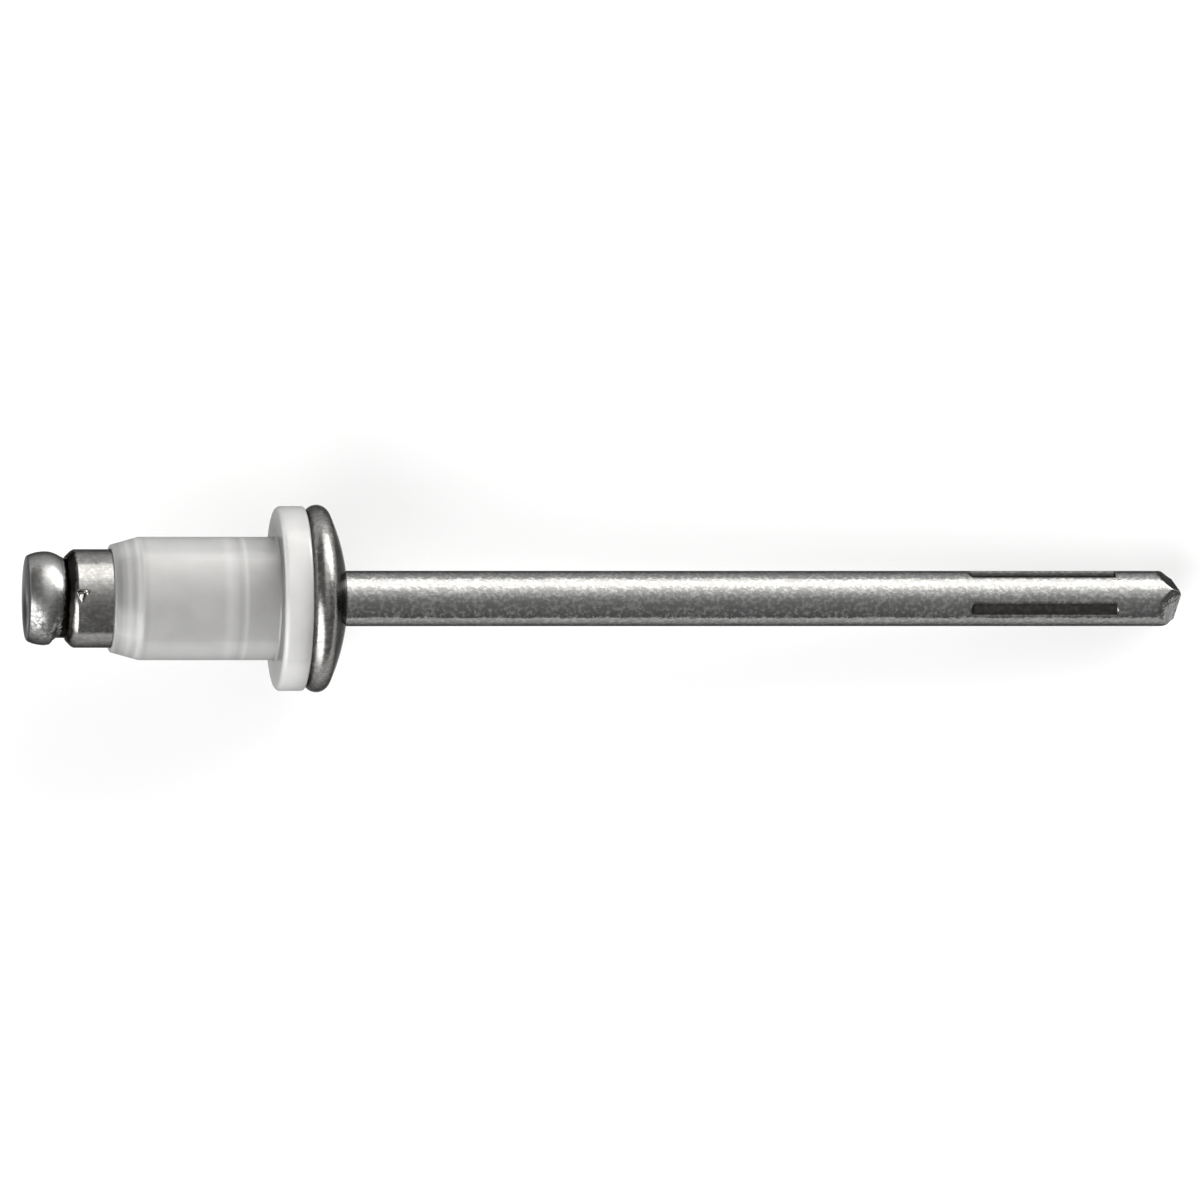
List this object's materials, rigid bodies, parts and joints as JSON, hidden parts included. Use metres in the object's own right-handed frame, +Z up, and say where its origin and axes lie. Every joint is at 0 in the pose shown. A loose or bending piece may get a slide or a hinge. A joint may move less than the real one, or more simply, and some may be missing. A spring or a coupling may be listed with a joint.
{
  "type": "insulated blind rivet",
  "caption": "Unset blind rivet: a domed metal shell inside a flanged plastic sleeve, with its long steel pulling mandrel still in place.",
  "frame": {"origin": "on the surface that the rivet lies on, below the middle of its bounding box", "axes": "+X along the rivet towards the mandrel's tip, +Z up; the rivet's own axis slopes down towards the tip by 4.4 degrees, because it rests on the rim of its head and on the tip"},
  "size_m": [0.0379, 0.006, 0.0061],
  "materials": {
    "mandrel": "bright drawn wire with a fine speckled surface, cold-headed at one end and pinched at the other",
    "shell": "bright formed metal with fine marks along it",
    "sleeve": "milky, slightly see-through moulded plastic, satin"
  },
  "bodies": {
    "root": {"mandrel": "mandrel", "rivet_body": "shell", "insulating_sleeve": "sleeve"}
  },
  "joints": []
}
